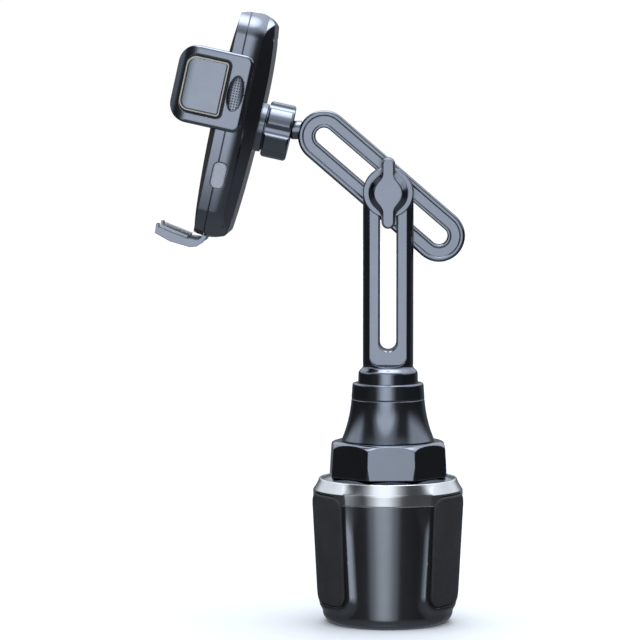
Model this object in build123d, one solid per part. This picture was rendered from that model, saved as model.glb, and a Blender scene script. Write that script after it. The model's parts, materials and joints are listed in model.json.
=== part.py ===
from build123d import *
import math
import os

# Car phone mount for a cup holder. Millimetres, +Z up, origin at the centre of the
# base's underside on the mast axis. The phone faces -X and the wing knob faces -Y.

# ---- driving dimensions -------------------------------------------------------
BASE_HEIGHT = 68.0          # rim of the trim ring
BODY_R_FOOT = 30.4          # body cone radius at the bottom
CONE_SLOPE = 0.0543         # radius gained per mm of height
BODY_R_TOP = 32.4           # rim radius of the trim ring
SHOULDER_Z = 62.9           # where the cone turns into the sloping rim
RING_SPLIT_Z = 58.0         # joint between shell and trim ring
PLATE_TOP_Z = 2.2           # joint between bottom plate and shell
FRAME_RAISE = 1.6           # how far the pad frames stand out of the body
WALL = 2.6

WING_ANGLES = (-30.0, 210.0, 90.0)
PAD_HALF_WIDTH = 12.8
PAD_Z = (9.8, 61.6)
PAD_PROUD = 0.9             # pad surface above its frame
PAD_THICKNESS = 2.0
PAD_CORNER = 5.6
RAIL_SLOPE = 0.35           # radial gain per mm along the expander's rails
RAIL_R = 13.5               # rail radius at the expander's lower end
EXPANDER_Z = (28.0, 56.0)

SPINDLE_R = 5.0
RUNNING = 0.06              # radial running clearance
SLEEVE_R = 7.5

KNOB_Z = (69.3, 85.4)
KNOB_FLAT_R = 27.0
KNOB_ROUND_R = 28.8
BELL_Z = (85.7, 105.3)
BELL_R = (21.9, 17.2)
NECK_Z = (105.6, 112.8)
NECK_R = (17.2, 16.7)

MAST_R = 11.87
MAST_HALF_FLAT = 8.1
MAST_FLAT_Z = 121.8
SLOT_BOTTOM_Z = 132.0
PIVOT_Z = 202.3
SLOT_HALF = 3.8
BOLT_R = 3.0
KNOB_HUB_R = 6.5
KNOB_BLADE = (32.8, 4.2)      # length and width of the wing knob's blade at its front face

ARM_A = (-30.35, 228.2)     # X, Z of the upper end's centre
ARM_ANGLE = 40.8
ARM_LENGTH = 71.7
ARM_TO_PIVOT = 40.3
ARM_R = 12.3
ARM_SLOT_HALF = 4.1
ARM_Y = (9.0, 18.0)

BALL = (-54.3, 13.5, 231.2)
BALL_R = 8.5
LINER_R = (8.56, 9.5)
SOCKET_CAVITY_R = 9.56
CRADLE_TILT = 12.5

CASE_HALF_WIDTH = 31.0
CASE_FRONT = 25.4
CASE_SEAM = 20.4
CASE_CORNER = 13.0           # corner radius in front view
GRIP_Y = (34.4, 37.6)
GRIP_LIP_Y = 30.6
GRIP_N = (13.9, 48.5)
GRIP_U = (-4.8, 31.5)
BADGE_CENTRE = (34.65, 13.55)
BADGE = (18.0, 23.8, 4.0, 1.0)              # width, height, front and rear corner radii
BEZEL_OUTER = (19.6, 25.4, 4.7, 1.7)
GRIP_GROOVE = (22.4, 28.2, 6.0, 3.0)
RACK_N = (14.5, 18.5)
PINION_U = 13.0
PINION_R = 6.0
PINION_TEETH = 12
BUTTON_N = (16.2, 22.4)
BUTTON_U = (-31.5, -19.5)
FOOT_N = (19.2, 21.4)
SCREW_R = 1.25

# The cradle is built upright round the ball's centre, then tilted into place.
FORWARD_LOCAL = Rot(0, -90, 0)                  # turned() heights become distances forward
CRADLE = Pos(*BALL) * Rot(0, CRADLE_TILT, 0)
FORWARD = CRADLE * FORWARD_LOCAL

nodes = {}


# ---- small helpers ------------------------------------------------------------
def turned(*points):
    """Solid turned about Z from a closed outline of (radius, height) points."""
    outline = Polyline([(r, 0, z) for r, z in points], close=True)
    return revolve(make_face(outline), Axis.Z)


def tube(r_in, r_out, z0, z1):
    """Plain ring about Z."""
    return turned((r_in, z0), (r_out, z0), (r_out, z1), (r_in, z1))


def rod(radius, z0, z1):
    """Plain cylinder about Z."""
    return Pos(0, 0, (z0 + z1) / 2) * Cylinder(radius, z1 - z0)


def block(x, y, z):
    """Box from three (low, high) pairs."""
    centre = [(a + b) / 2 for a, b in (x, y, z)]
    return Pos(*centre) * Box(x[1] - x[0], y[1] - y[0], z[1] - z[0])


def slab_y(points, y0, y1):
    """Outline of (x, z) points drawn in the XZ plane and extruded from y0 to y1."""
    outline = Polyline([(x, y0, z) for x, z in points], close=True)
    return extrude(make_face(outline), amount=y1 - y0, dir=(0, 1, 0))


def facing_y(sketch, y):
    """Sketch in (x, z) laid at one distance along Y."""
    return Plane(origin=(0, y, 0), x_dir=(1, 0, 0), z_dir=(0, -1, 0)) * sketch


def along_y(sketch, y0, y1):
    """Sketch in (x, z) extruded along +Y from y0 to y1."""
    return extrude(facing_y(sketch, y0), amount=y1 - y0, dir=(0, 1, 0))


def rod_y(radius, y0, y1, x=0.0, z=0.0):
    """Cylinder along Y."""
    return along_y(Pos(x, z) * Circle(radius), y0, y1)


def body_r(z):
    return BODY_R_FOOT + CONE_SLOPE * z


def frame_r(z):
    return body_r(z) + FRAME_RAISE


def pad_r(z):
    return frame_r(z) + PAD_PROUD


def rail_r(z, z0=EXPANDER_Z[0]):
    return RAIL_R + RAIL_SLOPE * (z - z0)


def cone_shell(r_of_z, inner, outer, z0, z1):
    """Conical ring whose walls lie `inner` and `outer` away from r_of_z."""
    return turned(
        (r_of_z(z0) + inner, z0),
        (r_of_z(z0) + outer, z0),
        (r_of_z(z1) + outer, z1),
        (r_of_z(z1) + inner, z1),
    )


def window(half_width, z0, z1, corner, r0=20.0, r1=45.0):
    """Rounded opening for one wing, cut along +X."""
    sketch = RectangleRounded(2 * half_width, z1 - z0, corner)
    plane = Plane(origin=(r0, 0, (z0 + z1) / 2), x_dir=(0, 1, 0), z_dir=(1, 0, 0))
    return extrude(plane * sketch, amount=r1 - r0)


def at_wings(shape):
    """Copies of a shape made on +X, one per wing."""
    return [Rot(0, 0, angle) * shape for angle in WING_ANGLES]


# ---- cup-holder base ----------------------------------------------------------
def base_outer():
    """Outer form of body, pad frames and ring, before it is split and hollowed."""
    rim = (BODY_R_TOP, BASE_HEIGHT)
    body = turned((0, 0), (body_r(0), 0), (body_r(SHOULDER_Z), SHOULDER_Z), rim, (0, BASE_HEIGHT))
    foot_edge = body.edges().filter_by(GeomType.CIRCLE).sort_by(Axis.Z)[0]
    body = fillet(foot_edge, 5.0)
    frame_form = turned(
        (22, 5),
        (frame_r(5), 5),
        (frame_r(SHOULDER_Z), SHOULDER_Z),
        rim,
        (22, BASE_HEIGHT),
    )
    frame = window(PAD_HALF_WIDTH + 1.9, 7.9, 67.6, 7.0) & frame_form
    for one in at_wings(frame):
        body += one
    return body


def base_parts():
    outer = base_outer()
    openings = at_wings(window(PAD_HALF_WIDTH + 0.35, 9.4, 62.1, PAD_CORNER + 0.35))
    cavity_top = 66.0
    cavity = turned(
        (0, 3.6),
        (26.8, 3.6),
        (body_r(6) - WALL, 6),
        (body_r(RING_SPLIT_Z) - WALL, RING_SPLIT_Z),
        (0, RING_SPLIT_Z),
    )
    ring_cavity = rod(29.9, RING_SPLIT_Z, cavity_top) + rod(31.2, cavity_top, BASE_HEIGHT)

    plate = outer & rod(40, 0, PLATE_TOP_Z)
    shell = (outer & rod(40, PLATE_TOP_Z, RING_SPLIT_Z)) - cavity
    ring = (outer & rod(40, RING_SPLIT_Z, BASE_HEIGHT)) - ring_cavity
    for opening in openings:
        shell -= opening
        ring -= opening

    # The shell's floor is a step that the bottom plate closes.
    shell -= rod(24.0, PLATE_TOP_Z, 3.6)
    plate += rod(23.9, PLATE_TOP_Z, 3.6)

    # Floor rails that guide the wings' lower tabs.
    rails = block((12.5, 26.0), (3.1, 5.0), (3.6, 7.0)) + block((12.5, 26.0), (-5.0, -3.1), (3.6, 7.0))
    rails &= rod(23.9, 3.0, 8.0)
    for one in at_wings(rails):
        plate += one

    # Three screws join plate and shell between the wings.
    bosses, screws, screw_holes = [], [], []
    for angle in (-90.0, 30.0, 150.0):
        spot = Rot(0, 0, angle) * Pos(25.2, 0, 0)
        bosses.append(spot * rod(2.9, 3.6, 20.0))
        screws.append(spot * (rod(2.3, 0.4, 1.6) + rod(SCREW_R, 1.6, 14.0)))
        screw_holes.append(spot * (rod(2.35, 0, 1.6) + rod(SCREW_R, 1.6, 14.0)))
    for boss, hole in zip(bosses, screw_holes):
        shell += boss & turned((0, 3), (26.9, 3), (28.6, 20), (0, 20))
        shell -= hole
        plate -= hole

    # Central spindle stands on the plate and carries the bell.
    spindle = rod(9.0, 3.6, 5.6) + rod(SPINDLE_R, 5.6, 92.0) - rod(1.6, 70.0, 92.0)

    # Cover closes the ring and steadies the knob's sleeve.
    cover = turned(
        (SLEEVE_R + RUNNING, 60.0),
        (10.5, 60.0),
        (10.5, 66.0),
        (31.15, 66.0),
        (31.15, 67.6),
        (27.0, 69.0),
        (SLEEVE_R + RUNNING, 69.0),
    )
    cover_rails = block((12.0, 29.0), (3.1, 5.0), (62.8, 66.0))
    cover_rails += block((12.0, 29.0), (-5.0, -3.1), (62.8, 66.0))
    for one in at_wings(cover_rails):
        cover += one

    nodes["base_shell"] = shell
    nodes["bottom_plate"] = plate
    nodes["trim_ring"] = ring
    nodes["top_cover"] = cover
    nodes["spindle"] = spindle
    nodes["base_screws"] = Compound(screws)


def expander_part():
    z0, z1 = EXPANDER_Z
    body = tube(SLEEVE_R + RUNNING, 10.2, z0, z1)
    fin = slab_y([(9.5, z0), (rail_r(z0) - 0.8, z0), (rail_r(z1) - 0.8, z1), (9.5, z1)], -1.5, 1.5)
    head = slab_y(
        [(rail_r(z0) - 1, z0), (rail_r(z0) + 1, z0), (rail_r(z1) + 1, z1), (rail_r(z1) - 1, z1)], -3.5, 3.5
    )
    for one in at_wings(fin + head):
        body += one
    nodes["expander"] = body


def wing_parts():
    """One jaw and one rubber pad, made on +X and copied to the three wings."""
    low, high = 22.0, 58.0
    rib = slab_y(
        [
            (14.0, 10.0),
            (36.0, 10.0),
            (36.0, 60.0),
            (rail_r(high) - 2.6, 60.0),
            (rail_r(high) - 2.6, high),
            (rail_r(low) - 2.6, low),
            (14.0, low),
        ],
        -5.5,
        5.5,
    )
    slot_head = slab_y(
        [
            (rail_r(low) - 1.15, low),
            (rail_r(low) + 1.15, low),
            (rail_r(62) + 1.15, 62),
            (rail_r(62) - 1.15, 62),
        ],
        -3.65,
        3.65,
    )
    mouth_outline = [
        (rail_r(low) - 4, low),
        (rail_r(low), low),
        (rail_r(62), 62),
        (rail_r(62) - 4, 62),
    ]
    slot_mouth = slab_y(mouth_outline, -1.65, 1.65)
    lower_tab = block((14.0, 18.5), (-3.0, 3.0), (4.2, 10.5))
    rib = rib - slot_head - slot_mouth + lower_tab
    outline = window(PAD_HALF_WIDTH - 0.3, PAD_Z[0] + 0.3, PAD_Z[1] - 0.3, PAD_CORNER - 0.3)
    carrier = outline & cone_shell(pad_r, -PAD_THICKNESS - 3.0, -PAD_THICKNESS, 5, 66)
    rib &= turned((0, 4), (pad_r(4) - 2.5, 4), (pad_r(61) - 2.5, 61), (0, 61))
    jaw = carrier + rib
    pad = window(PAD_HALF_WIDTH, *PAD_Z, PAD_CORNER) & cone_shell(pad_r, -PAD_THICKNESS, 0, 5, 66)
    rim = [e for e in pad.edges() if math.hypot((e @ 0.5).X, (e @ 0.5).Y) > pad_r((e @ 0.5).Z) - 0.2]
    pad = fillet(rim, 1.0)
    for number, (one_jaw, one_pad) in enumerate(zip(at_wings(jaw), at_wings(pad)), start=1):
        nodes[f"wing_{number}"] = one_jaw
        nodes[f"wing_pad_{number}"] = one_pad


def knob_part():
    z0, z1 = KNOB_Z
    body = rod(KNOB_ROUND_R, z0, z1)
    body = fillet(body.edges().filter_by(GeomType.CIRCLE).sort_by(Axis.Z)[-1], 5.0)
    octagon = Plane.XY.offset(z0) * RegularPolygon(KNOB_FLAT_R, 8, major_radius=False, rotation=26.0)
    body &= extrude(octagon, amount=z1 - z0, taper=3.4)
    body -= tube(10.5, 22.5, z0, z1 - 3.2)
    sleeve = rod(SLEEVE_R, 10.0, z0 + 0.5)
    nodes["adjust_knob"] = body + sleeve - rod(SPINDLE_R + RUNNING, 9.0, z1 + 1)


def bell_parts():
    (z0, z1), (r0, r1) = BELL_Z, BELL_R
    wave = ThreePointArc((r0, 0, z0), (18.75, 0, 95.3), (r1, 0, z1))
    rest = Polyline((r1, 0, z1), (0, 0, z1), (0, 0, z0), (r0, 0, z0))
    body = revolve(make_face([wave, rest]), Axis.Z)
    body = fillet(body.edges().filter_by(GeomType.CIRCLE).sort_by(Axis.Z)[-1], 0.5)
    under = turned((7.5, z0), (19.0, z0), (16.4, 92.0), (7.5, 92.0))
    pocket = rod(9.0, 95.0, z1) + rod(10.2, 98.9, 100.3)
    bore = rod(SPINDLE_R, z0, 92.0) + rod(1.7, 92.0, 95.0)
    nodes["bell"] = body - under - pocket - bore
    nodes["bell_screw"] = rod(4.0, 95.0, 97.2) + rod(1.6, 74.0, 95.0)
    clip = tube(8.15, 10.1, 99.0, 100.2) - block((0, 12), (-2.0, 2.0), (98, 101))
    nodes["retaining_clip"] = clip


# ---- mast ---------------------------------------------------------------------
def neck_parts():
    (z0, z1), (r0, r1) = NECK_Z, NECK_R
    neck = turned((0, z0), (r0, z0), (r1, z1), (0, z1))
    neck = fillet(neck.edges().filter_by(GeomType.CIRCLE).sort_by(Axis.Z)[-1], 1.0)
    neck += rod(9.0 - RUNNING, 97.6, z0)
    neck -= tube(8.0, 9.5, 98.9, 100.3)
    neck -= rod(5.0, 97.0, 103.0) + rod(14.2, 110.0, 113.0) + rod(2.5, 103.0, 110.0)
    nodes["neck_ring"] = neck
    nodes["mast_screw"] = rod(4.4, 99.5, 103.0) + rod(2.5, 103.0, 122.0)


def mast_part():
    foot = [Line((0, 0, 110.0), (14.15, 0, 110.0)), Line((14.15, 0, 110.0), (13.95, 0, 117.2))]
    foot.append(Spline((13.95, 0, 117.2), (13.1, 0, 118.9), (12.2, 0, 119.8), (MAST_R, 0, 121.6)))
    foot.append(Polyline((MAST_R, 0, 121.6), (MAST_R, 0, 215.0), (0, 0, 215.0), (0, 0, 110.0)))
    mast = revolve(make_face(foot), Axis.Z)

    top = rod_y(MAST_R, -20, 20, z=PIVOT_Z) + block((-20, 20), (-20, 20), (100, PIVOT_Z))
    mast &= top

    half, corner, reach = 8.9, 4.5, 100.0
    sketch = Rectangle(2 * half, reach, align=(Align.CENTER, Align.MIN))
    sketch = fillet(sketch.vertices().sort_by(Axis.Y)[:2], corner)
    for side in (-1, 1):
        plane = Plane(
            origin=(0, side * MAST_HALF_FLAT, MAST_FLAT_Z), x_dir=(-side, 0, 0), z_dir=(0, side, 0)
        )
        mast -= extrude(plane * sketch, amount=5.0, taper=-15)

    length = PIVOT_Z - SLOT_BOTTOM_Z
    slot = Pos(0, (PIVOT_Z + SLOT_BOTTOM_Z) / 2) * Rot(0, 0, 90) * SlotCenterToCenter(length, 2 * SLOT_HALF)
    mast -= along_y(slot, -20, 20)
    lips = []
    for edge in mast.edges():
        middle = edge @ 0.5
        inside = abs(middle.X) < SLOT_HALF + 0.1 and abs(abs(middle.Y) - MAST_HALF_FLAT) < 0.05
        if inside and 127 < middle.Z < PIVOT_Z + SLOT_HALF + 0.2:
            lips.append(edge)
    mast = chamfer(lips, 0.75)
    nodes["mast"] = mast - rod(2.5, 109.0, 122.5)


def clamp_parts():
    """Bolt, bushes and washers on the pivot axis, and the wing knob in front."""
    z = PIVOT_Z
    head = rod_y(8.5, 18.3, 21.3, z=z)
    head = fillet(head.edges().sort_by(Axis.Y)[-1], 1.2)
    nodes["clamp_bolt"] = head + rod_y(BOLT_R, -17.0, 18.3, z=z)
    nodes["mast_bush"] = rod_y(SLOT_HALF - RUNNING, -8.0, 8.0, z=z) - rod_y(BOLT_R, -9, 9, z=z)
    washer = rod_y(10.0, 8.15, 8.85, z=z) - rod_y(BOLT_R, 8, 9, z=z)
    nodes["friction_washer"] = washer
    flange = rod_y(11.75, -9.9, -8.2, z=z)
    flange = fillet(flange.edges().sort_by(Axis.Y)[0], 0.5)
    nodes["flange_washer"] = flange - rod_y(BOLT_R, -12, -8, z=z)

    front = -20.4
    face_plane = Plane(origin=(0, front, z), x_dir=(0, 0, 1), z_dir=(0, 1, 0))
    outline = Circle(KNOB_HUB_R) + SlotOverall(KNOB_BLADE[0], KNOB_BLADE[1])
    waist = [v for v in outline.vertices() if v.distance_to(Vertex(0, 0, 0)) < KNOB_HUB_R + 0.5]
    outline = fillet(waist, 3.0)
    knob = extrude(face_plane * outline, amount=-10.0 - front, taper=-9)
    knob = fillet(knob.edges().group_by(Axis.Y)[0], 0.5)
    insert_outer = rod_y(4.6, -17.5, -10.0, z=z)
    knob -= insert_outer
    knob -= rod_y(BOLT_R + RUNNING, -18.0, -10.0, z=z)
    nodes["wing_knob"] = knob
    nodes["knob_insert"] = insert_outer - rod_y(BOLT_R + RUNNING, -18.0, -9.0, z=z)


def upper_arm_parts():
    arm_place = Pos(ARM_A[0], 0, ARM_A[1]) * Rot(0, ARM_ANGLE, 0)
    middle = ARM_LENGTH / 2
    y0, y1 = ARM_Y

    def slot(height):
        return Pos(middle, 0) * SlotCenterToCenter(ARM_LENGTH, height)

    arm = along_y(slot(2 * ARM_R), y0, y1)
    outer_edges = arm.edges().group_by(Axis.Y)[0] + arm.edges().group_by(Axis.Y)[-1]
    arm = fillet(outer_edges, 1.3)
    field = slot(2 * (ARM_R - 2.55)) - slot(2 * (ARM_R - 6.6))
    recess = 0.8
    arm -= along_y(field, y0, y0 + recess)
    arm -= along_y(field, y1 - recess, y1)
    arm -= along_y(slot(2 * ARM_SLOT_HALF), y0, y1)
    for y in (y0, y1):
        spine = Edge.make_line((0, y, 0), (ARM_LENGTH, y, 0))
        face_edges = [e for e in arm.edges() if abs((e @ 0.5).Y - y) < 0.01]
        arm = chamfer([e for e in face_edges if e.distance_to(spine) < ARM_R - 1.8], 0.45)
    arm = arm_place * arm

    key_width = 2 * (ARM_SLOT_HALF - RUNNING)
    key = along_y(Pos(ARM_TO_PIVOT, 0) * SlotOverall(17.0, key_width), y0 + 0.1, y1 - 0.1)
    key = arm_place * key
    nodes["slot_key"] = key - rod_y(BOLT_R + RUNNING, 8, 19, z=PIVOT_Z)

    stem_axis = Pos(*BALL) * Rot(0, 90, 0)
    stem = stem_axis * turned((0, 0), (3.6, 0), (3.6, 7.2), (4.4, 9.0), (4.4, 13.4), (0, 13.4))
    tail = stem_axis * rod(3.0, 12.0, 16.6)
    stud = Pos(*BALL) * Sphere(BALL_R) + stem - arm + tail
    nodes["upper_arm"] = arm - tail
    nodes["ball_stud"] = stud


# ---- ball joint, built along the cradle's forward axis ------------------------
def ball_joint_parts():
    shell = Sphere(LINER_R[1]) - Sphere(LINER_R[0])
    collet_zone = turned((0, 0), (12.0, 12.0), (14.0, 12.0), (14.0, -2.8), (0, -2.8))
    nodes["ball_collet"] = FORWARD * (shell & collet_zone)
    nodes["friction_pad"] = FORWARD * (shell & turned((0, 0), (2.9, 11.0), (0, 11.0)))

    socket = turned(
        (0, -3.4),
        (10.5, -3.4),
        (10.5, 4.1),
        (11.4, 4.3),
        (11.7, 7.0),
        (12.4, 8.4),
        (12.4, 9.4),
        (15.5, 9.4),
        (15.5, 11.6),
        (0, 11.6),
    )
    socket -= Sphere(SOCKET_CAVITY_R) + rod(SOCKET_CAVITY_R, -3.4, 0)
    holes = [Rot(0, 0, 45 + 90 * i) * Pos(13.9, 0, 0) * rod(0.9, 9.0, 12.0) for i in range(4)]
    for hole in holes:
        socket -= hole
    nodes["ball_socket"] = FORWARD * socket

    nut = rod(13.3, -8.4, 3.7)
    nut = chamfer(nut.edges().filter_by(GeomType.CIRCLE), 0.9)
    for i in range(6):
        groove = Rot(0, 0, 60 * i + 90) * Pos(15.2, 0, 0) * rod(3.6, -10, 5)
        nut -= groove
    nut -= rod(10.5 + RUNNING, -3.8, 4.0) + (Sphere(SOCKET_CAVITY_R) & rod(12, -5.6, -3.8))
    nut -= turned((0, -9), (9.7, -9), (9.5, -8.4), (7.3, -5.6), (0, -5.6))
    nodes["clamp_nut"] = FORWARD * nut


# ---- cradle, built upright with the phone side towards -X ---------------------
def cradle_form():
    """Outer form of the cradle casing as (forward, up) outline, front view and bevel."""
    top = ThreePointArc((-8.8, 0, 48.3), (-11.8, 0, 51.0), (-18.3, 0, 51.7))
    top_front = ThreePointArc((-18.3, 0, 51.7), (-21.8, 0, 51.5), (-CASE_FRONT, 0, 50.3))
    bottom = ThreePointArc((-CASE_FRONT, 0, -53.7), (-18.7, 0, -54.7), (-12.2, 0, -53.2))
    heel = ThreePointArc((-12.2, 0, -53.2), (-10.5, 0, -52.3), (-9.7, 0, -50.6))
    back = Spline((-9.7, 0, -50.6), (-8.4, 0, -37.0), (-7.1, 0, -12.0), (-7.1, 0, 33.5), (-8.8, 0, 48.3))
    front = Line((-CASE_FRONT, 0, 50.3), (-CASE_FRONT, 0, -53.7))
    side = make_face([top, top_front, front, bottom, heel, back])
    form = extrude(side, amount=CASE_HALF_WIDTH, dir=(0, 1, 0), both=True)

    front_view = Plane(origin=(0, 0, -1.5), x_dir=(0, 1, 0), z_dir=(1, 0, 0))
    form &= extrude(front_view * RectangleRounded(2 * CASE_HALF_WIDTH, 108.0, CASE_CORNER), amount=-40)

    bevel = [(-30, -31.5), (-12.8, -31.0), (-6.0, -25.6), (-6.0, 25.6), (-12.8, 31.0), (-30, 31.5)]
    section = Polyline([(x, y, -60) for x, y in bevel], close=True)
    return form & extrude(make_face(section), amount=120, dir=(0, 0, 1))


def cradle_cavity():
    outline = [
        (-9.3, 44),
        (-9.3, -12),
        (-10.8, -40),
        (-12.4, -49),
        (-14.2, -51.4),
        (-23.3, -51.4),
        (-23.3, 48.4),
        (-13, 48.4),
    ]
    cavity = slab_y(outline, -28.6, 28.6)
    bevel = [(-24, -28.6), (-14, -28.6), (-9, -24.4), (-9, 24.4), (-14, 28.6), (-24, 28.6)]
    section = Polyline([(x, y, -60) for x, y in bevel], close=True)
    cavity &= extrude(make_face(section), amount=120, dir=(0, 0, 1))
    front_view = Plane(origin=(0, 0, -1.5), x_dir=(0, 1, 0), z_dir=(1, 0, 0))
    return cavity & extrude(front_view * RectangleRounded(57.2, 99.8, CASE_CORNER - 2.4), amount=-40)


def forward_rod(radius, n0, n1, y, u):
    """Cylinder along the forward axis at (y, u)."""
    return Pos(0, y, u) * Rot(0, -90, 0) * rod(radius, n0, n1)


def rack_teeth(phase_side):
    """Rack teeth along Y on the pitch line u = 0, pointing to phase_side * u."""
    pitch = math.pi * PINION_R * 2 / PINION_TEETH
    half_root, half_tip = 1.05, 0.5
    teeth = []
    for index in range(6):
        y = index * pitch
        points = [(y - half_root, -1.2), (y - half_tip, 0.65), (y + half_tip, 0.65), (y + half_root, -1.2)]
        outline = Polyline([(-RACK_N[1], py, phase_side * pu) for py, pu in points], close=True)
        teeth.append(extrude(make_face(outline), amount=RACK_N[1] - RACK_N[0], dir=(1, 0, 0)))
    return teeth


def pinion_part():
    """Involute spur gear with a tooth gap straight above its centre."""
    base_r = PINION_R * math.cos(math.radians(20))
    root_r, tip_r = 4.7, 6.9
    half_tooth = math.pi / (2 * PINION_TEETH) - 0.014
    pitch_t = math.sqrt((PINION_R / base_r) ** 2 - 1)
    offset = half_tooth + (pitch_t - math.atan(pitch_t))
    flank = []
    steps = 4
    tip_t = math.sqrt((tip_r / base_r) ** 2 - 1)
    for step in range(steps + 1):
        t = tip_t * step / steps
        radius = base_r * math.sqrt(1 + t * t)
        flank.append((radius, offset - (t - math.atan(t))))
    gear = Circle(root_r)
    for tooth in range(PINION_TEETH):
        centre = math.radians(90) + (tooth + 0.5) * 2 * math.pi / PINION_TEETH
        right = [(root_r - 0.3, flank[0][1])] + flank
        left = [(r, -a) for r, a in reversed(right)]
        points = [(r * math.cos(centre + a), r * math.sin(centre + a)) for r, a in right + left]
        gear += make_face(Polyline(points, close=True))
    gear -= Circle(1.5 + RUNNING)
    plane = Plane(origin=(-RACK_N[1], 0, PINION_U), x_dir=(0, 1, 0), z_dir=(1, 0, 0))
    nodes["pinion"] = CRADLE * extrude(plane * gear, amount=RACK_N[1] - RACK_N[0])
    nodes["pinion_pin"] = CRADLE * forward_rod(1.5, 13.0, 24.3, 0, PINION_U)


def coil(radius, wire, turns, length):
    """Compression spring about Z from 0 to length, with its wire inside that span."""
    span = length - 2 * wire
    helix = Helix(pitch=span / turns, height=span, radius=radius)
    start = Plane(origin=helix @ 0, z_dir=helix % 0)
    return Pos(0, 0, wire) * sweep(start * Circle(wire / 2), path=helix)


def soft_badge(width, height, front_corner, rear_corner):
    """Rectangle whose front corners are rounder than its rear ones."""
    sketch = Rectangle(width, height)
    sketch = fillet(sketch.vertices().group_by(Axis.X)[0], front_corner)
    return fillet(sketch.vertices().group_by(Axis.X)[-1], rear_corner)


def grip_parts(side, label):
    """Gripper arm with rack, pad, bezel and badge plate. side is -1 near, +1 far."""
    n0, n1 = GRIP_N
    u0, u1 = GRIP_U
    y_in, y_out = side * GRIP_Y[0], side * GRIP_Y[1]

    sketch = Pos((-n0 - n1) / 2, (u0 + u1) / 2) * Rectangle(n1 - n0, u1 - u0)
    sketch = fillet(sketch.vertices().group_by(Axis.X)[0], 9.0)
    sketch = fillet(sketch.vertices().group_by(Axis.X)[-1], 4.0)
    blank = along_y(sketch, *sorted((side * GRIP_LIP_Y, y_out)))
    blank = fillet(blank.edges().group_by(Axis.Y)[0 if side < 0 else -1], 1.8)

    # Seen from above, the plate is flat and then curls round its front edge.
    flat_end = Vector(-n1 + 11.0, y_out, u0)
    curl_end = Vector(-n1, side * (GRIP_Y[1] - 5.2), u0)
    curl_mid = Vector(-n1 + 3.6, side * (GRIP_Y[1] - 1.75), u0)
    curl = ThreePointArc(flat_end, curl_mid, curl_end)
    inside = Polyline(
        curl_end,
        (-n1, side * GRIP_LIP_Y, u0),
        (-n1 + 3.0, side * GRIP_LIP_Y, u0),
        (-n1 + 3.0, y_in, u0),
        (-n0, y_in, u0),
        (-n0, y_out, u0),
        flat_end,
    )
    plate = blank & extrude(make_face([curl, inside]), amount=u1 - u0, dir=(0, 0, 1))

    centre = Pos(-BADGE_CENTRE[0], BADGE_CENTRE[1])
    mouth = centre * soft_badge(*GRIP_GROOVE)
    bezel_out = centre * soft_badge(*BEZEL_OUTER)
    bezel_in = centre * soft_badge(*BADGE)
    floor_y = side * (GRIP_Y[1] - 1.5)
    # The bezel stands in a groove whose outer wall slopes down to its foot.
    plate -= loft([facing_y(mouth, y_out), facing_y(bezel_out, floor_y)], ruled=True)
    bezel = along_y(bezel_out - bezel_in, *sorted((floor_y, side * (GRIP_Y[1] - 0.35))))
    badge = along_y(bezel_in, *sorted((floor_y, side * (GRIP_Y[1] - 0.05))))
    badge = fillet(badge.edges().group_by(Axis.Y)[0 if side < 0 else -1], 0.5)

    # Thumb grip: a shallow oval scoop.
    scoop = scale(Sphere(1.0), by=(4.3, 1.5, 9.2))
    plate -= Pos(-19.1, side * (GRIP_Y[1] + 0.55), 13.1) * Rot(0, 0, side * 6) * scoop

    rack_u = PINION_U - side * PINION_R
    bar_u = sorted((rack_u - side * 1.15, rack_u - side * 7.0))
    bar_y = sorted((y_in, -side * 17.0))
    arm = plate + block((-RACK_N[1], -RACK_N[0]), bar_y, bar_u)
    for tooth in rack_teeth(side):
        arm += Pos(0, 0, rack_u) * (tooth if side < 0 else mirror(tooth, Plane.XZ))

    pad_y = sorted((side * 31.9, y_in))
    pad = block((-44.5, -28.0), pad_y, (u0 + 5, u1 - 5))
    pad = fillet(pad.edges().filter_by(Axis.Y), 3.0)
    nodes[f"{label}_grip"] = CRADLE * arm
    nodes[f"{label}_grip_pad"] = CRADLE * pad
    nodes[f"{label}_bezel"] = CRADLE * bezel
    nodes[f"{label}_badge"] = CRADLE * badge

    spring_u = rack_u - side * 4.0
    spring = coil(1.9, 0.5, 7, 11.0)
    turn = Rot(90, 0, 0) if side > 0 else Rot(-90, 0, 0)
    spring = Pos(-16.5, -side * 17.3, spring_u) * turn * spring
    nodes[f"{label}_spring"] = CRADLE * spring


def release_parts(side, label):
    """Side button with its wedge, and the pawl that the wedge draws back."""
    n0, n1 = BUTTON_N
    u0, u1 = BUTTON_U
    face = RectangleRounded(n1 - n0, u1 - u0, 2.4)
    face = Pos(-(n0 + n1) / 2, (u0 + u1) / 2) * face
    cap = along_y(face, *sorted((side * 27.9, side * 31.9)))
    cap = fillet(cap.edges().group_by(Axis.Y)[0 if side < 0 else -1], 0.6)
    flange = block((-n1 - 0.6, -n0 + 0.6), sorted((side * 26.6, side * 27.9)), (u0 - 1, u1 + 1))
    wedge = block((-18.3, -16.4), sorted((side * 20.0, side * 26.6)), (-28.0, -24.6))
    nodes[f"{label}_button"] = CRADLE * (cap + flange + wedge)

    pawl = block((-18.3, -14.9), sorted((side * 14.6, side * 17.6)), (-24.0, -3.0))
    tooth = block((-18.3, -14.9), sorted((side * 15.4, side * 16.8)), (-3.0, -0.4))
    nodes[f"{label}_pawl"] = CRADLE * (pawl + tooth)


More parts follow.
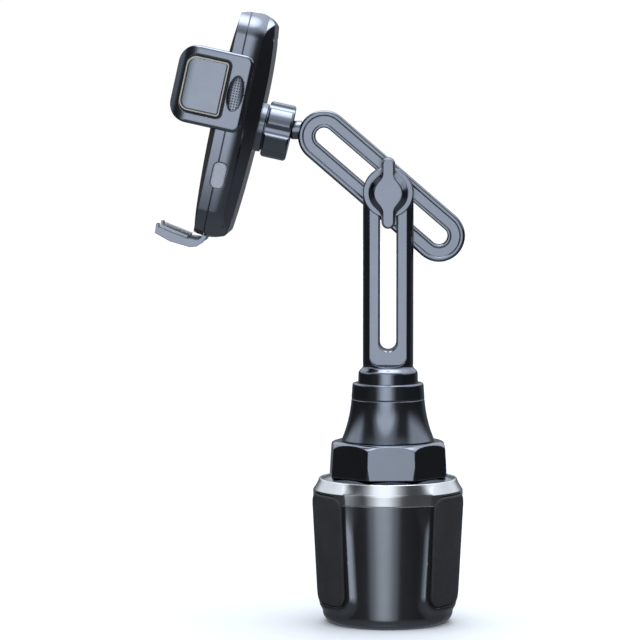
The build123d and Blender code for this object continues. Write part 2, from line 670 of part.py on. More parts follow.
def foot_parts():
    outline = [
        (-19.2, -36.0),
        (-19.2, -55.6),
        (-20.4, -58.3),
        (-22.6, -60.5),
        (-25.6, -61.5),
        (-35.3, -60.9),
        (-43.0, -58.5),
        (-43.4, -54.1),
        (-42.2, -54.0),
        (-41.8, -55.5),
        (-27.6, -57.8),
        (-22.6, -57.3),
        (-21.4, -55.9),
        (-21.4, -36.0),
    ]
    pad_outline = [(-28.0, -57.72), (-41.78, -55.49), (-41.7, -54.5), (-27.9, -56.8)]
    foot = block((-FOOT_N[1], -FOOT_N[0]), (-21.0, 21.0), (-36.0, -30.0))
    pads = []
    for side in (-1, 1):
        leg_y = sorted((side * 12.4, side * 21.4))
        leg = slab_y(outline, *leg_y)
        foot += leg
        pads.append(slab_y(pad_outline, leg_y[0] + 0.8, leg_y[1] - 0.8))
    nodes["foot_bracket"] = CRADLE * foot
    nodes["foot_pads"] = CRADLE * Compound(pads)


def cradle_casing():
    casing = cradle_form() - cradle_cavity()

    gap = 0.3
    n0, n1 = RACK_N
    for side in (-1, 1):
        rack_u = PINION_U - side * PINION_R
        bar_u = sorted((rack_u - side * 1.15, rack_u - side * 7.0))
        y_range = sorted((side * 27.0, side * 33.0))
        casing -= block((-n1 - gap, -n0 + gap), y_range, (bar_u[0] - gap, bar_u[1] + gap))
        face = RectangleRounded(BUTTON_N[1] - BUTTON_N[0] + 0.4, BUTTON_U[1] - BUTTON_U[0] + 0.4, 2.6)
        face = Pos(-(BUTTON_N[0] + BUTTON_N[1]) / 2, (BUTTON_U[0] + BUTTON_U[1]) / 2) * face
        casing -= along_y(face, *y_range)
        leg_y = sorted((side * 12.1, side * 21.7))
        casing -= block((-FOOT_N[1] - gap, -FOOT_N[0] + gap), leg_y, (-57, -50))

    rear = casing & block((-CASE_SEAM, 0), (-40, 40), (-70, 70))
    cover = casing & block((-40, -CASE_SEAM), (-40, 40), (-70, 70))

    # A shallow groove shows where the two covers meet.
    groove = block((-CASE_SEAM - 0.4, -CASE_SEAM), (-40, 40), (-70, 70))
    view = Plane(origin=(0, 0, -1.45), x_dir=(0, 1, 0), z_dir=(1, 0, 0))
    inner_outline = RectangleRounded(2 * CASE_HALF_WIDTH - 1.0, 105.1, CASE_CORNER - 0.5)
    groove -= extrude(view * inner_outline, amount=-40)
    cover -= groove

    rear -= FORWARD_LOCAL * rod(12.4, 5.0, 9.5)
    screws, socket_screws = [], []
    for y in (-25.2, 25.2):
        for u in (-43.0, 42.0):
            rear += forward_rod(2.6, 11.0, CASE_SEAM, y, u)
            cover += forward_rod(2.6, CASE_SEAM, 23.8, y, u)
            rear -= forward_rod(2.2, 5.0, 12.6, y, u) + forward_rod(SCREW_R, 12.0, CASE_SEAM, y, u)
            cover -= forward_rod(SCREW_R, CASE_SEAM, 23.0, y, u)
            screws.append(forward_rod(2.1, 11.4, 12.6, y, u) + forward_rod(SCREW_R, 12.6, 22.8, y, u))
    ring = FORWARD_LOCAL * tube(12.4, 16.4, 8.4, 9.4)
    rear += ring
    for i in range(4):
        spot = FORWARD_LOCAL * Rot(0, 0, 45 + 90 * i) * Pos(13.9, 0, 0)
        rear -= spot * rod(0.9, 7.9, 9.6)
        socket_screws.append(spot * (rod(1.5, 11.6, 12.6) + rod(0.9, 8.0, 11.6)))
    rear -= FORWARD_LOCAL * rod(15.8, 9.3, 11.8)
    cover += forward_rod(3.5, CASE_SEAM, 23.8, 0, PINION_U)
    cover -= forward_rod(1.5, CASE_SEAM, 24.3, 0, PINION_U)

    pad_bottom = (-CASE_FRONT, 0, -52.7)
    pad_top = (-CASE_FRONT, 0, 49.3)
    pad_arc = ThreePointArc(pad_bottom, (-27.7, 0, -12.0), pad_top)
    back_line = Line(pad_top, pad_bottom)
    pad = extrude(make_face([pad_arc, back_line]), amount=CASE_HALF_WIDTH - 0.8, dir=(0, 1, 0), both=True)
    view = Plane(origin=(-20, 0, -1.7), x_dir=(0, 1, 0), z_dir=(1, 0, 0))
    pad &= extrude(view * RectangleRounded(2 * CASE_HALF_WIDTH - 2.0, 101.8, CASE_CORNER - 1.0), amount=-20)

    nodes["rear_cover"] = CRADLE * rear
    nodes["front_cover"] = CRADLE * cover
    nodes["front_pad"] = CRADLE * pad
    nodes["cover_screws"] = CRADLE * Compound(screws)
    nodes["socket_screws"] = CRADLE * Compound(socket_screws)


base_parts()
expander_part()
wing_parts()
knob_part()
bell_parts()
neck_parts()
mast_part()
clamp_parts()
upper_arm_parts()
ball_joint_parts()
cradle_casing()
pinion_part()
grip_parts(-1, "near")
grip_parts(1, "far")
release_parts(-1, "near")
release_parts(1, "far")
foot_parts()

os.makedirs("parts", exist_ok=True)
for name, shape in nodes.items():
    export_step(shape, f"parts/{name}.step")
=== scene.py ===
import json
import math

import bmesh
import bpy
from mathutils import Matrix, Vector


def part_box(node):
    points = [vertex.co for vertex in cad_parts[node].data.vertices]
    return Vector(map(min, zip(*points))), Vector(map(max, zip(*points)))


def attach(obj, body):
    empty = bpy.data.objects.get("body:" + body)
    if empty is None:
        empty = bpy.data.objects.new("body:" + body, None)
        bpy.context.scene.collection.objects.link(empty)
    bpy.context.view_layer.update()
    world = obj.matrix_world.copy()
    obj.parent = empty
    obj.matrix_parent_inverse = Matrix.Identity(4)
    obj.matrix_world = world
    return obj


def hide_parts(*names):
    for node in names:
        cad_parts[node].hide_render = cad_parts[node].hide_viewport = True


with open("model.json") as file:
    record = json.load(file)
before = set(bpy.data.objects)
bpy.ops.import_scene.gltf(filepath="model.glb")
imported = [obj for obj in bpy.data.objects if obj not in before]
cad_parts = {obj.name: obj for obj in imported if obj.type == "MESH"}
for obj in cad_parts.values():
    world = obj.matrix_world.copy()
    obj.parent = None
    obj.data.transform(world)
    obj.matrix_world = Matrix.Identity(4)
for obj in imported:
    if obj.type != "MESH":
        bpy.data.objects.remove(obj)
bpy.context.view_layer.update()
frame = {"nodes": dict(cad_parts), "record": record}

MM = 0.001


# ---- node materials -----------------------------------------------------------
class Graph:
    """Small wrapper that keeps node code short."""

    def __init__(self, name):
        self.material = bpy.data.materials.new(name)
        self.material.use_nodes = True
        self.tree = self.material.node_tree
        self.tree.nodes.clear()
        self.out = self.add("ShaderNodeOutputMaterial")
        self.shader = self.add("ShaderNodeBsdfPrincipled")
        self.link(self.shader.outputs[0], self.out.inputs["Surface"])
        self.coords = self.add("ShaderNodeTexCoord").outputs["Object"]

    def add(self, kind, **settings):
        node = self.tree.nodes.new(kind)
        for key, value in settings.items():
            setattr(node, key, value)
        return node

    def link(self, a, b):
        self.tree.links.new(a, b)

    def put(self, node, **values):
        for key, value in values.items():
            node.inputs[key.replace("_", " ")].default_value = value

    def noise(self, scale, detail=3.0, stretch=None):
        node = self.add("ShaderNodeTexNoise")
        node.inputs["Scale"].default_value = scale
        node.inputs["Detail"].default_value = detail
        source = self.coords
        if stretch:
            mapping = self.add("ShaderNodeMapping")
            mapping.inputs["Scale"].default_value = stretch
            self.link(source, mapping.inputs["Vector"])
            source = mapping.outputs[0]
        self.link(source, node.inputs["Vector"])
        return node.outputs["Fac"]

    def ramp(self, value, low, high, start=0.3, end=0.7):
        """Map a noise value between two colours or two grey levels."""
        node = self.add("ShaderNodeValToRGB")
        for element, place, shade in zip(node.color_ramp.elements, (start, end), (low, high)):
            element.position = place
            element.color = (*shade, 1) if isinstance(shade, tuple) else (shade, shade, shade, 1)
        self.link(value, node.inputs[0])
        return node.outputs[0]

    def math(self, operation, a, b):
        """Arithmetic on a socket and a number or on two sockets."""
        node = self.add("ShaderNodeMath", operation=operation)
        for socket, value in zip(node.inputs, (a, b)):
            if isinstance(value, float):
                socket.default_value = value
            else:
                self.link(value, socket)
        return node.outputs[0]

    def crown(self, direction, start, end, curvature):
        """Height in metres by which a face curves away between two distances along a direction."""
        along = self.add("ShaderNodeVectorMath", operation="DOT_PRODUCT")
        self.link(self.coords, along.inputs[0])
        along.inputs[1].default_value = direction
        run = self.math("MAXIMUM", self.math("SUBTRACT", along.outputs["Value"], start), 0.0)
        run = self.math("MINIMUM", run, end - start)
        return self.math("MULTIPLY", self.math("MULTIPLY", run, run), -0.5 * curvature)

    def bump(self, height, strength, distance, edge=None, crowns=()):
        """Fine relief; edge is the radius by which the shading rounds sharp edges."""
        node = self.add("ShaderNodeBump")
        normal = None
        if edge:
            bevel = self.add("ShaderNodeBevel", samples=6)
            bevel.inputs["Radius"].default_value = edge
            normal = bevel.outputs[0]
        for crown in crowns:
            bend = self.add("ShaderNodeBump")
            bend.inputs["Strength"].default_value = 1.0
            bend.inputs["Distance"].default_value = 1.0
            self.link(self.crown(*crown), bend.inputs["Height"])
            self.link(normal, bend.inputs["Normal"])
            normal = bend.outputs[0]
        if normal:
            self.link(normal, node.inputs["Normal"])
        node.inputs["Strength"].default_value = strength
        node.inputs["Distance"].default_value = distance
        self.link(height, node.inputs["Height"])
        self.link(node.outputs[0], self.shader.inputs["Normal"])


def coated_plastic(name, dark, light, metallic, roughness, grain=0.02, crowns=()):
    """Moulded plastic with a fine satin skin and slight tone changes."""
    g = Graph(name)
    g.link(g.ramp(g.noise(35.0), dark, light), g.shader.inputs["Base Color"])
    low, high = roughness
    g.link(g.ramp(g.noise(160.0, 5.0), low, high), g.shader.inputs["Roughness"])
    g.put(g.shader, Metallic=metallic)
    g.bump(g.noise(1500.0, 2.0), grain, 0.00004, edge=0.0005, crowns=crowns)
    return g.material


def satin_metal(name, dark, light, roughness, stretch):
    """Metal whose fine grain is drawn out along one axis."""
    g = Graph(name)
    g.link(g.ramp(g.noise(60.0), dark, light), g.shader.inputs["Base Color"])
    low, high = roughness
    g.link(g.ramp(g.noise(900.0, 4.0, stretch), low, high), g.shader.inputs["Roughness"])
    g.put(g.shader, Metallic=1.0)
    g.bump(g.noise(2600.0, 3.0, stretch), 0.02, 0.00003, edge=0.0004)
    return g.material


def rubber(name, dark, light):
    """Matt rubber with a fine leathery grain."""
    g = Graph(name)
    g.link(g.ramp(g.noise(90.0, 4.0), dark, light), g.shader.inputs["Base Color"])
    g.link(g.ramp(g.noise(420.0, 4.0), 0.5, 0.7), g.shader.inputs["Roughness"])
    g.bump(g.noise(3400.0, 4.0), 0.25, 0.00012)
    return g.material


# The cradle's own frame in metres: where the ball is, and which way its forward and up directions point.
BALL = Vector((-54.3, 13.5, 231.2))
CRADLE_TILT = math.radians(12.5)
FORWARD = Vector((-math.cos(CRADLE_TILT), 0.0, math.sin(CRADLE_TILT)))
UPWARD = Vector((math.sin(CRADLE_TILT), 0.0, math.cos(CRADLE_TILT)))


def cradle_crown(direction, start, end, curvature):
    """Crown of a face of the cradle: start and end in mm from the ball, curvature per metre."""
    shift = BALL.dot(direction)
    return direction, (start + shift) * MM, (end + shift) * MM, curvature


# The casing's sides curve away towards the back, and gently towards both ends.
CASING_CROWNS = (
    cradle_crown(-FORWARD, -18.4, -12.0, 70.0),
    cradle_crown(UPWARD, -1.7, 60.0, 3.5),
    cradle_crown(-UPWARD, 1.7, 60.0, 5.5),
)
BADGE_CROWNS = (cradle_crown(FORWARD, 38.6, 44.0, 50.0),)
GUNMETAL = (0.250, 0.270, 0.312), (0.270, 0.290, 0.332)

MATERIALS = {
    "body_plastic": coated_plastic("gunmetal_plastic", *GUNMETAL, 1.0, (0.13, 0.17)),
    "gloss_black": coated_plastic(
        "dark_gloss_plastic", (0.245, 0.258, 0.282), (0.265, 0.278, 0.304), 1.0, (0.13, 0.17)
    ),
    "satin_chrome": satin_metal(
        "satin_chrome", (0.84, 0.84, 0.85), (0.90, 0.90, 0.91), (0.17, 0.20), (1, 1, 12)
    ),
    "pad_rubber": rubber("pad_rubber", (0.020, 0.021, 0.023), (0.027, 0.028, 0.031)),
    "nylon": coated_plastic(
        "dark_nylon", (0.05, 0.05, 0.055), (0.07, 0.07, 0.075), 0.0, (0.45, 0.6), grain=0.05
    ),
    "steel": satin_metal("zinc_steel", (0.50, 0.50, 0.52), (0.62, 0.62, 0.64), (0.28, 0.40), (1, 1, 6)),
    "brass": satin_metal("turned_brass", (0.62, 0.46, 0.22), (0.72, 0.55, 0.28), (0.25, 0.35), (1, 6, 1)),
    "bezel_metal": satin_metal(
        "champagne_bezel", (0.36, 0.33, 0.29), (0.43, 0.40, 0.35), (0.15, 0.22), (6, 1, 1)
    ),
    "badge_grey": coated_plastic(
        "badge_plastic", (0.27, 0.29, 0.33), (0.30, 0.32, 0.36), 1.0, (0.18, 0.23), crowns=BADGE_CROWNS
    ),
    "light_grey": coated_plastic(
        "light_grey_plastic", (0.42, 0.44, 0.48), (0.48, 0.50, 0.54), 0.3, (0.35, 0.45)
    ),
}
CASING = coated_plastic("casing_plastic", *GUNMETAL, 1.0, (0.15, 0.19), crowns=CASING_CROWNS)


def dress_cad_nodes():
    """Give every CAD node the material of its slot; the two casing halves get the crowned one."""
    slots = {s["node"]: s["material_slot"] for s in frame["record"]["subparts"]}
    for node, obj in frame["nodes"].items():
        obj.data.materials.clear()
        casing = node in ("front_cover", "rear_cover")
        obj.data.materials.append(CASING if casing else MATERIALS[slots[node]])


# ---- mesh helpers, in millimetres ----------------------------------------------
def new_piece(name, points, faces, slot, sharp_angle=40.0):
    """Mesh object from points in mm, dressed in one of the record's material slots."""
    mesh = bpy.data.meshes.new(name)
    mesh.from_pydata([[c * MM for c in p] for p in points], [], faces)
    mesh.update()
    obj = bpy.data.objects.new(name, mesh)
    bpy.context.collection.objects.link(obj)
    finish_mesh(obj, slot, sharp_angle)
    return obj


def finish_mesh(obj, slot, sharp_angle):
    """Outward faces, smooth shading with crisp edges, and the slot's material."""
    bm = bmesh.new()
    bm.from_mesh(obj.data)
    bmesh.ops.remove_doubles(bm, verts=bm.verts, dist=0.002 * MM)
    bmesh.ops.recalc_face_normals(bm, faces=bm.faces)
    limit = math.radians(sharp_angle)
    for face in bm.faces:
        face.smooth = True
    for edge in bm.edges:
        edge.smooth = edge.calc_face_angle(0.0) < limit
    bm.to_mesh(obj.data)
    bm.free()
    obj.data.materials.clear()
    obj.data.materials.append(MATERIALS[slot])


def rounded_rectangle(half_w, half_h, corner, per_corner=8):
    """Points of a rounded rectangle about the origin, the same number whatever its size."""
    points = []
    for quarter in range(4):
        cx = (half_w - corner) * (1 if quarter in (0, 3) else -1)
        cy = (half_h - corner) * (1 if quarter in (0, 1) else -1)
        for i in range(per_corner + 1):
            a = math.pi / 2 * (quarter + i / per_corner)
            points.append((cx + corner * math.cos(a), cy + corner * math.sin(a)))
    return points


def subdivided(points, step):
    """Closed outline with its long straight runs cut into pieces about step long."""
    out = []
    for (x0, y0), (x1, y1) in zip(points, points[1:] + points[:1]):
        n = max(1, round(math.hypot(x1 - x0, y1 - y0) / step))
        out += [(x0 + (x1 - x0) * i / n, y0 + (y1 - y0) * i / n) for i in range(n)]
    return out


def loft_loops(loops):
    """Points and faces of a closed solid from loops of equal length; both ends are capped."""
    count = len(loops[0])
    points = [p for loop in loops for p in loop]
    faces = []
    for k in range(len(loops) - 1):
        for i in range(count):
            j = (i + 1) % count
            faces.append((k * count + i, k * count + j, (k + 1) * count + j, (k + 1) * count + i))
    faces.append(tuple(reversed(range(count))))
    faces.append(tuple(range((len(loops) - 1) * count, len(loops) * count)))
    return points, faces


def cut(obj, cutter):
    """Take one closed mesh out of another and apply the result."""
    modifier = obj.modifiers.new("cut", "BOOLEAN")
    modifier.operation = "DIFFERENCE"
    modifier.object = cutter
    modifier.solver = "EXACT"
    deps = bpy.context.evaluated_depsgraph_get()
    mesh = bpy.data.meshes.new_from_object(obj.evaluated_get(deps))
    obj.modifiers.clear()
    obj.data = mesh
    bpy.data.objects.remove(cutter)


# ---- cup-holder base -----------------------------------------------------------
WING_ANGLES = (-30.0, 210.0, 90.0)
FOOT_R, CONE_SLOPE = 30.4, 0.0543        # body radius at the foot and its gain per mm of height
FOOT_ROUND = 5.0
SHOULDER_Z, RIM_Z, RIM_R = 62.9, 68.0, 32.4
SHELL_Z, RING_Z = 2.2, 58.0              # lower edges of the shell and of the trim ring
FRAME_RAISE = 1.6
FRAME_HALF, FRAME_Z, FRAME_CORNER = 14.7, (7.9, 67.6), 7.0
BLEND_LOW, BLEND_TOP = 4.6, 8.5          # width of the hollow round each frame, low down and at the ring
WINDOW_HALF, WINDOW_Z, WINDOW_CORNER = 13.15, (9.4, 62.1), 5.95
PAD_HALF, PAD_Z, PAD_CORNER = 12.8, (9.8, 61.6), 5.6
PAD_OUT, PAD_DEEP, PAD_ROUND = 2.5, 2.0, 1.3
PAD_INNER_LOOPS = (2.2, 3.6, 5.2, 7.0, 8.8, 10.6, 12.2)     # insets of the loops across the pad's flat face
PAD_POINT_STEP = 2.4
BASE_COLUMNS = 480
CUTTER_REACH = (20.0, 45.0)              # radii between which a window cutter runs
# Inner walls, as (radius, height), from the outer skin's upper end round to its lower end.
SHELL_INNER = [(30.9, RING_Z - 0.15), (28.2, 6.0), (26.8, 3.6), (24.0, 3.6), (24.0, SHELL_Z)]
RING_INNER = [(32.2, RIM_Z), (31.3, RIM_Z), (31.2, 66.0), (29.9, 66.0), (29.9, RING_Z)]


def body_radius(z):
    """Outer radius of the plain body: rounded foot, cone and sloping rim."""
    if z < FOOT_ROUND:
        centre = FOOT_R + CONE_SLOPE * FOOT_ROUND - FOOT_ROUND
        return centre + math.sqrt(max(FOOT_ROUND ** 2 - (FOOT_ROUND - z) ** 2, 0.0))
    if z < SHOULDER_Z:
        return FOOT_R + CONE_SLOPE * z
    top = FOOT_R + CONE_SLOPE * SHOULDER_Z
    return top + (RIM_R - top) * (z - SHOULDER_Z) / (RIM_Z - SHOULDER_Z)


def smooth_step(t):
    """Soft change from 0 to 1."""
    t = min(max(t, 0.0), 1.0)
    return t * t * (3 - 2 * t)


def skin_radius(theta, z):
    """Outer radius of the base: the cone, and a hollow sweeping up to each pad frame."""
    r = body_radius(z)
    blend = BLEND_LOW + (BLEND_TOP - BLEND_LOW) * smooth_step((z - 44.0) / 16.0)
    middle, half_h = sum(FRAME_Z) / 2, (FRAME_Z[1] - FRAME_Z[0]) / 2
    share = 0.0
    for angle in WING_ANGLES:
        turn = math.remainder(theta - math.radians(angle), math.tau)
        dx = abs(r * turn) - (FRAME_HALF - FRAME_CORNER)
        dz = abs(z - middle) - (half_h - FRAME_CORNER)
        away = math.hypot(max(dx, 0.0), max(dz, 0.0)) + min(max(dx, dz), 0.0) - FRAME_CORNER
        share = max(share, (1 - min(max(away / blend, 0.0), 1.0)) ** 2)
    fade = min(1.0, (RIM_Z - z) / (RIM_Z - SHOULDER_Z))
    return r + FRAME_RAISE * share * fade


def base_skin(name, node, slot, heights, inner):
    """Ring of the base between two heights: sculpted outside, plain inside, with three wing windows."""
    profile_len = len(heights) + len(inner)
    points, faces = [], []
    for c in range(BASE_COLUMNS):
        theta = math.tau * c / BASE_COLUMNS
        radii = [(skin_radius(theta, z), z) for z in heights] + list(inner)
        points += [(r * math.cos(theta), r * math.sin(theta), z) for r, z in radii]
    for c in range(BASE_COLUMNS):
        a, b = c * profile_len, (c + 1) % BASE_COLUMNS * profile_len
        for i in range(profile_len):
            j = (i + 1) % profile_len
            faces.append((a + i, b + i, b + j, a + j))
    obj = new_piece(name, points, faces, slot)
    middle, half_h = sum(WINDOW_Z) / 2, (WINDOW_Z[1] - WINDOW_Z[0]) / 2
    outline = rounded_rectangle(WINDOW_HALF, half_h, WINDOW_CORNER)
    for angle in WING_ANGLES:
        cos_a, sin_a = math.cos(math.radians(angle)), math.sin(math.radians(angle))
        loops = []
        for r in CUTTER_REACH:
            loops.append([(r * cos_a - u * sin_a, r * sin_a + u * cos_a, middle + v) for u, v in outline])
        cutter = new_piece("window_cutter", *loft_loops(loops), slot)
        cut(obj, cutter)
    finish_mesh(obj, slot, 32.0)
    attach(obj, "base")
    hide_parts(node)


def steps(low, high, size):
    """Evenly spaced heights about size apart, both ends included."""
    n = max(1, round((high - low) / size))
    return [low + (high - low) * i / n for i in range(n + 1)]


def base_skins():
    """Body and trim ring of the base."""
    foot = [SHELL_Z, 2.6, 3.1, 3.7, 4.3]
    cone = steps(FOOT_ROUND, RING_Z - 0.15, 0.9)
    base_skin("base_shell_skin", "base_shell", "gloss_black", foot + cone, SHELL_INNER)
    slope = steps(SHOULDER_Z + 0.6, RIM_Z - 0.5, 0.6) + [RIM_Z - 0.2]
    heights = steps(RING_Z, SHOULDER_Z, 0.7) + slope
    base_skin("trim_ring_skin", "trim_ring", "satin_chrome", heights, RING_INNER)


def pad_skin(number, angle):
    """Rubber pad: follows the cone, with a soft rounded rim."""
    middle, half_h = sum(PAD_Z) / 2, (PAD_Z[1] - PAD_Z[0]) / 2
    a = math.radians(angle)
    insets = [(0.0, PAD_OUT - PAD_DEEP)]
    arc_steps = 6
    for i in range(arc_steps + 1):
        t = math.pi / 2 * i / arc_steps
        insets.append((PAD_ROUND * (1 - math.cos(t)), PAD_OUT - PAD_ROUND * (1 - math.sin(t))))
    insets += [(inset, PAD_OUT) for inset in PAD_INNER_LOOPS]
    reference = subdivided(rounded_rectangle(PAD_HALF, half_h, PAD_CORNER), PAD_POINT_STEP)
    loops = []
    for inset, out in insets:
        fx, fz = (PAD_HALF - inset) / PAD_HALF, (half_h - inset) / half_h
        loop = []
        for x, z in reference:
            u, v = x * fx, z * fz
            turn = u / body_radius(middle)
            r = FOOT_R + CONE_SLOPE * (middle + v) + out
            loop.append((r * math.cos(a + turn), r * math.sin(a + turn), middle + v))
        loops.append(loop)
    obj = new_piece(f"wing_pad_{number}_skin", *loft_loops(loops), "pad_rubber", 50.0)
    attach(obj, f"wing_{number}")
    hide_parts(f"wing_pad_{number}")


# ---- wing knob -----------------------------------------------------------------
KNOB_HUB, KNOB_HALF_LENGTH, KNOB_HALF_WIDTH = 6.9, 15.9, 2.5
KNOB_WAIST = 3.2                         # how softly hub and blade run together
BLADE_GROWTH = 0.3                       # the blade's flank is this share as wide as the hub's
# How far the hub's flank stands out from the front face's outline, and how deep below it (mm).
KNOB_FLANK = (
    (-1.1, 0.0), (-0.7, 0.0), (-0.25, 0.1), (0.0, 0.35), (0.45, 0.9),
    (1.0, 1.7), (1.6, 2.6), (2.1, 3.5), (2.35, 4.6), (2.4, 10.3),
)
KNOB_POINTS = 240
KNOB_CROWDING = 0.36                     # crowds the points where the blade's outline turns fast


def knob_distance(x, z, grow):
    """Distance outside the hub and blade outline, blended at the waist."""
    hub = math.hypot(x, z) - KNOB_HUB - grow
    end = KNOB_HALF_LENGTH - KNOB_HALF_WIDTH
    blade = math.hypot(x, z - min(max(z, -end), end)) - KNOB_HALF_WIDTH - grow * BLADE_GROWTH
    mix = min(max(0.5 + 0.5 * (blade - hub) / KNOB_WAIST, 0.0), 1.0)
    return blade + (hub - blade) * mix - KNOB_WAIST * mix * (1 - mix)


def knob_reach(angle, grow):
    """How far out from the centre the outline lies in one direction."""
    near, far = 0.0, 25.0
    while far - near > 3e-8:
        half = (near + far) / 2
        if knob_distance(half * math.sin(angle), half * math.cos(angle), grow) < 0.0:
            near = half
        else:
            far = half
    return near


def wing_knob():
    """Knob with a waisted outline whose flanks flare towards its foot."""
    low, high = (Vector(corner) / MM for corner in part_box("wing_knob"))
    z0 = (low.z + high.z) / 2
    even = [math.tau * i / KNOB_POINTS for i in range(KNOB_POINTS)]
    angles = [a - KNOB_CROWDING * math.sin(2 * a) for a in even]
    loops = []
    for grow, deep in KNOB_FLANK:
        reach = [knob_reach(a, grow) for a in angles]
        loops.append([(r * math.sin(a), low.y + deep, z0 + r * math.cos(a)) for r, a in zip(reach, angles)])
    obj = new_piece("wing_knob_skin", *loft_loops(loops), "body_plastic", 50.0)
    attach(obj, "wing_knob")
    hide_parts("wing_knob")


# ---- thumb grips ---------------------------------------------------------------
SCOOP_FORWARD, SCOOP_UP, SCOOP_HALF = 19.1, 13.1, (3.7, 8.3)
DOT_PITCH = 1.22
DOT_SIDES = 10
DOT_RINGS = ((0.36, -0.08), (0.3312, 0.096), (0.198, 0.16))   # each ring: radius, height over the scoop


def cradle_point(forward, y, up):
    """World place in mm of a point given in the cradle's own directions."""
    return BALL + FORWARD * forward + UPWARD * up + Vector((0, y, 0))


def dot_mesh(place, normal, low_y, high_y, first):
    """Points and faces of one dot; first is the number of its first point."""
    across = normal.cross(Vector((0, 0, 1))).normalized()
    upward = across.cross(normal)
    points, faces = [], []
    for radius, lift in DOT_RINGS:
        for k in range(DOT_SIDES):
            a = math.tau * k / DOT_SIDES
            spot = place + (across * math.cos(a) + upward * math.sin(a)) * radius + normal * lift
            spot.y = min(max(spot.y, low_y), high_y)
            points.append(spot)
    for ring in range(len(DOT_RINGS) - 1):
        start = first + ring * DOT_SIDES
        for k in range(DOT_SIDES):
            a, b = start + k, start + (k + 1) % DOT_SIDES
            faces.append((a, b, b + DOT_SIDES, a + DOT_SIDES))
    last = first + (len(DOT_RINGS) - 1) * DOT_SIDES
    faces.append(tuple(last + k for k in range(DOT_SIDES)))
    faces.append(tuple(first + DOT_SIDES - 1 - k for k in range(DOT_SIDES)))
    return points, faces


def thumb_dots(side, label):
    """Rubber dots moulded in the oval scoop of one grip. side is -1 near, +1 far."""
    grip = frame["nodes"][f"{label}_grip"]
    low, high = (Vector(corner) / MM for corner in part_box(f"{label}_grip"))
    points, faces = [], []
    columns, rows = (int(half / DOT_PITCH) for half in SCOOP_HALF)
    for i in range(-columns, columns + 1):
        for j in range(-rows, rows + 1):
            dn, du = i * DOT_PITCH, j * DOT_PITCH
            if (dn / SCOOP_HALF[0]) ** 2 + (du / SCOOP_HALF[1]) ** 2 > 1.0:
                continue
            start = cradle_point(SCOOP_FORWARD + dn, side * 60.0, SCOOP_UP + du) * MM
            hit, place, normal, _ = grip.ray_cast(start, Vector((0, -side, 0)))
            if hit:
                dot_points, dot_faces = dot_mesh(place / MM, normal, low.y, high.y, len(points))
                points += dot_points
                faces += dot_faces
    obj = new_piece(f"{label}_thumb_dots", points, faces, "pad_rubber", 50.0)
    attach(obj, f"{label}_grip")


# ---- stage, light and camera --------------------------------------------------
# Studio brightness by direction, as stops from -1 to 1. WORLD_LOW and WORLD_HIGH run from the front to the
# back: near the horizon a front card, dark sides and a dim cove behind, and higher up a brighter ring.
# HIGH_SHARE and WORLD_ABOVE run along Z: the share of that high ring, and what is added below and above.
KEY_TURN = math.radians(7.0)             # the front card stands this far to the left
WORLD_LOW = (
    (-1.0, 1.35), (-0.975, 1.1), (-0.92, 0.42), (-0.84, 0.06),
    (-0.3, 0.035), (0.6, 0.035), (0.88, 0.12), (1.0, 0.16),
)
WORLD_HIGH = (
    (-1.0, 1.35), (-0.90, 1.3), (-0.81, 0.35), (-0.70, 0.05),
    (-0.45, 0.06), (-0.15, 0.75), (0.4, 0.8), (1.0, 1.0),
)
HIGH_SHARE = ((-1.0, 0.0), (0.12, 0.0), (0.32, 1.0), (1.0, 1.0))
WORLD_ABOVE = (
    (-1.0, 0.14), (-0.45, 0.08), (-0.2, 0.0), (0.45, 0.0), (0.84, 0.7), (0.95, 2.6), (1.0, 4.2),
)
STUDIO_TINT = (0.86, 0.92, 1.0, 1)
BACKDROP_LEVEL = 1.02
FLOOR_SIZE = 8.0

CAMERA_PLACE = (0.0, -1.523, 0.248)
CAMERA_AIM = (-0.032, 0.0, 0.1422)
CAMERA_LENS = 182.8


def stage_floor():
    """Pale floor that takes the shadow but stays out of reflections."""
    bpy.ops.mesh.primitive_plane_add(size=FLOOR_SIZE, location=(0, 0, 0))
    floor = bpy.context.object
    floor.name = "stage_floor"
    g = Graph("pale_floor")
    g.link(g.ramp(g.noise(3.0), (0.90, 0.90, 0.91), (0.93, 0.93, 0.94)), g.shader.inputs["Base Color"])
    g.put(g.shader, Roughness=0.6)
    floor.data.materials.append(g.material)
    floor.visible_glossy = False


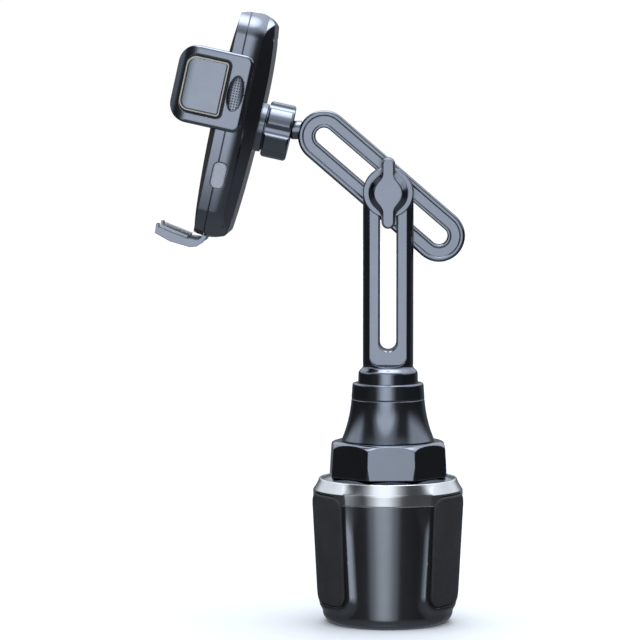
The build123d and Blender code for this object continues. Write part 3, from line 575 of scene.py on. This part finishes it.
def studio_world():
    """Plain white to the camera; the object is lit by the studio brightness above."""
    world = bpy.data.worlds.new("studio")
    bpy.context.scene.world = world
    world.use_nodes = True
    tree = world.node_tree
    tree.nodes.clear()

    def add(kind, **settings):
        node = tree.nodes.new(kind)
        for key, value in settings.items():
            setattr(node, key, value)
        return node

    def level(source, stops):
        """Brightness along one axis of direction, from -1 to 1."""
        to_unit = add("ShaderNodeMapRange")
        to_unit.inputs["From Min"].default_value = -1.0
        tree.links.new(source, to_unit.inputs["Value"])
        ramp = add("ShaderNodeValToRGB")
        ramp.color_ramp.interpolation = "EASE"
        elements = ramp.color_ramp.elements
        while len(elements) < len(stops):
            elements.new(0.5)
        for element, (place, shade) in zip(elements, stops):
            element.position = (place + 1) / 2
            element.color = (shade, shade, shade, 1)
        tree.links.new(to_unit.outputs[0], ramp.inputs[0])
        return ramp.outputs[0]

    compass = add("ShaderNodeTexCoord").outputs["Generated"]
    direction = add("ShaderNodeSeparateXYZ")
    tree.links.new(compass, direction.inputs[0])
    depth = add("ShaderNodeVectorMath", operation="DOT_PRODUCT")
    tree.links.new(compass, depth.inputs[0])
    depth.inputs[1].default_value = (math.sin(KEY_TURN), math.cos(KEY_TURN), 0.0)
    around = add("ShaderNodeMix", data_type="FLOAT")
    tree.links.new(level(direction.outputs["Z"], HIGH_SHARE), around.inputs["Factor"])
    tree.links.new(level(depth.outputs["Value"], WORLD_LOW), around.inputs[2])
    tree.links.new(level(depth.outputs["Value"], WORLD_HIGH), around.inputs[3])
    above = level(direction.outputs["Z"], WORLD_ABOVE)
    total = add("ShaderNodeMath", operation="ADD")
    tree.links.new(around.outputs[0], total.inputs[0])
    tree.links.new(above, total.inputs[1])

    felt = add("ShaderNodeBackground")
    felt.inputs["Color"].default_value = STUDIO_TINT
    tree.links.new(total.outputs[0], felt.inputs["Strength"])
    seen = add("ShaderNodeBackground")
    seen.inputs["Color"].default_value = (1, 1, 1, 1)
    seen.inputs["Strength"].default_value = BACKDROP_LEVEL
    mix = add("ShaderNodeMixShader")
    tree.links.new(add("ShaderNodeLightPath").outputs["Is Camera Ray"], mix.inputs[0])
    tree.links.new(felt.outputs[0], mix.inputs[1])
    tree.links.new(seen.outputs[0], mix.inputs[2])
    tree.links.new(mix.outputs[0], add("ShaderNodeOutputWorld").inputs["Surface"])


def camera():
    data = bpy.data.cameras.new("camera")
    data.lens = CAMERA_LENS
    data.clip_end = 50
    obj = bpy.data.objects.new("camera", data)
    bpy.context.collection.objects.link(obj)
    obj.location = CAMERA_PLACE
    obj.rotation_euler = (Vector(CAMERA_AIM) - obj.location).to_track_quat("-Z", "Y").to_euler()
    bpy.context.scene.camera = obj


dress_cad_nodes()
base_skins()
for wing, wing_angle in enumerate(WING_ANGLES, start=1):
    pad_skin(wing, wing_angle)
wing_knob()
thumb_dots(-1, "near")
thumb_dots(1, "far")
stage_floor()
studio_world()
camera()
bpy.context.scene.view_settings.view_transform = "Standard"
